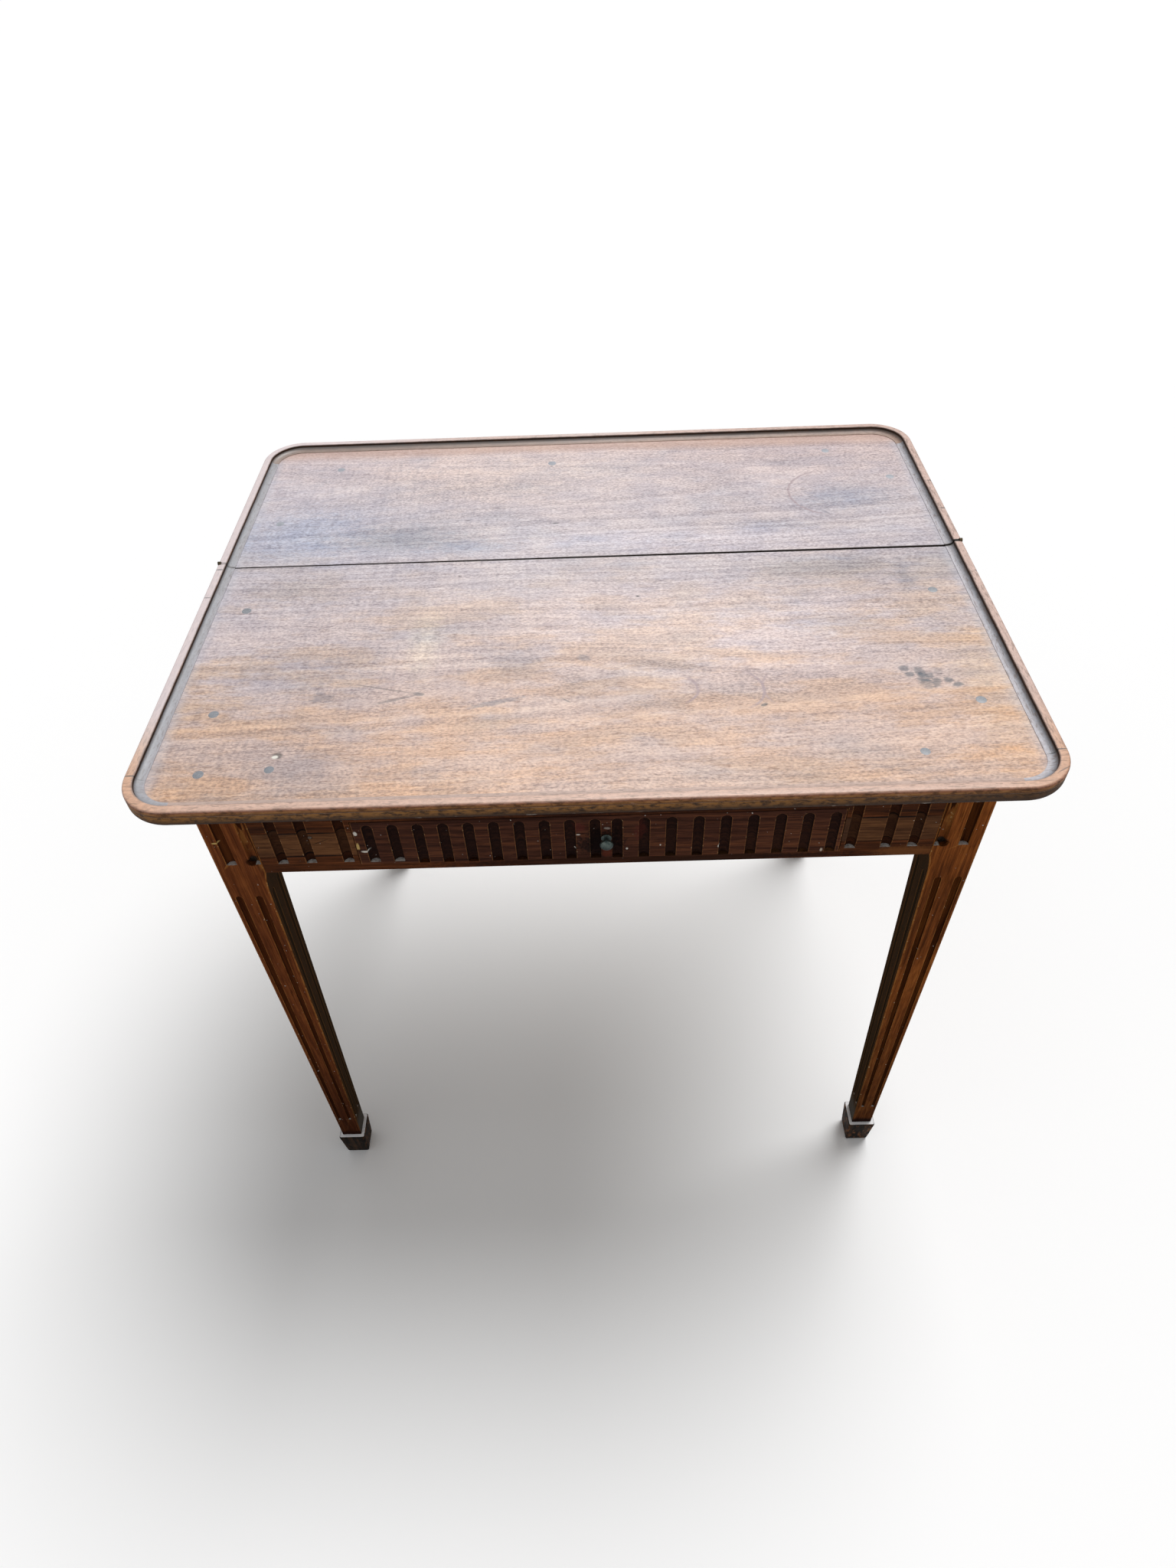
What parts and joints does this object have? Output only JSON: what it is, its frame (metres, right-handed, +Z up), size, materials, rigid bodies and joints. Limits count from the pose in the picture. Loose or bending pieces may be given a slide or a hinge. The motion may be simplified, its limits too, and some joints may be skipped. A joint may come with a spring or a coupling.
{
  "type": "games table",
  "caption": "Small games table with a dished folding top, a fluted apron with a drawer and a well behind it, and tapering fluted legs on block feet.",
  "frame": {"origin": "on the floor under the middle of the top", "axes": "+X to the right along the top's long side, -Y to the front with the drawer, +Z up"},
  "size_m": [0.874, 0.698, 0.7424],
  "materials": {
    "top_walnut": "worn wax over faded walnut",
    "frame_walnut": "polished reddish brown",
    "foot_walnut": "dark and dusty",
    "inside_oak": "unpolished",
    "peg_oak": "dark end grain",
    "hinge_brass": "aged",
    "knob_bronze": "green patina",
    "iron": "dark"
  },
  "bodies": {
    "frame": {"leg_front_left": "frame_walnut", "leg_front_right": "frame_walnut", "leg_rear_left": "frame_walnut", "leg_rear_right": "frame_walnut", "foot_front_left": "foot_walnut", "foot_front_right": "foot_walnut", "foot_rear_left": "foot_walnut", "foot_rear_right": "foot_walnut", "front_top_rail": "frame_walnut", "front_bottom_rail": "frame_walnut", "end_panel_left": "frame_walnut", "end_panel_right": "frame_walnut", "side_apron_left": "frame_walnut", "side_apron_right": "frame_walnut", "rear_apron": "frame_walnut", "joint_peg_left": "peg_oak", "joint_peg_right": "peg_oak", "corner_block_left": "inside_oak", "corner_block_right": "inside_oak", "well_divider": "inside_oak", "well_floor": "inside_oak", "well_ledger_front": "inside_oak", "well_ledger_rear": "inside_oak", "drawer_runner_left": "inside_oak", "drawer_runner_right": "inside_oak", "drawer_kicker_left": "inside_oak", "drawer_kicker_right": "inside_oak", "front_leaf_board": "top_walnut", "front_rim_long": "top_walnut", "front_rim_corner_left": "top_walnut", "front_rim_corner_right": "top_walnut", "front_rim_side_left": "top_walnut", "front_rim_side_right": "top_walnut", "front_batten_left": "frame_walnut", "front_batten_right": "frame_walnut", "hinge_front_plate_left": "hinge_brass", "hinge_front_plate_right": "hinge_brass", "hinge_pin_left": "iron", "hinge_pin_right": "iron"},
    "rear_leaf": {"rear_leaf_board": "top_walnut", "rear_rim_long": "top_walnut", "rear_rim_corner_left": "top_walnut", "rear_rim_corner_right": "top_walnut", "rear_rim_side_left": "top_walnut", "rear_rim_side_right": "top_walnut", "rear_batten_left": "frame_walnut", "rear_batten_right": "frame_walnut", "rear_cross_batten": "frame_walnut", "hinge_rear_plate_left": "hinge_brass", "hinge_rear_plate_right": "hinge_brass"},
    "drawer": {"drawer_front": "frame_walnut", "drawer_side_left": "inside_oak", "drawer_side_right": "inside_oak", "drawer_back": "inside_oak", "drawer_bottom": "inside_oak", "drawer_knob": "knob_bronze", "knob_nut": "iron"}
  },
  "joints": [
    {"name": "drawer_slide", "type": "slide", "parent": "frame", "child": "drawer", "axis": [0, -1, 0], "range_m": [0, 0.22]},
    {"name": "leaf_hinge", "type": "hinge", "parent": "frame", "child": "rear_leaf", "pos_m": [0, 0.051, 0.7402], "axis": [1, 0, 0], "range_deg": [0, 180]}
  ]
}
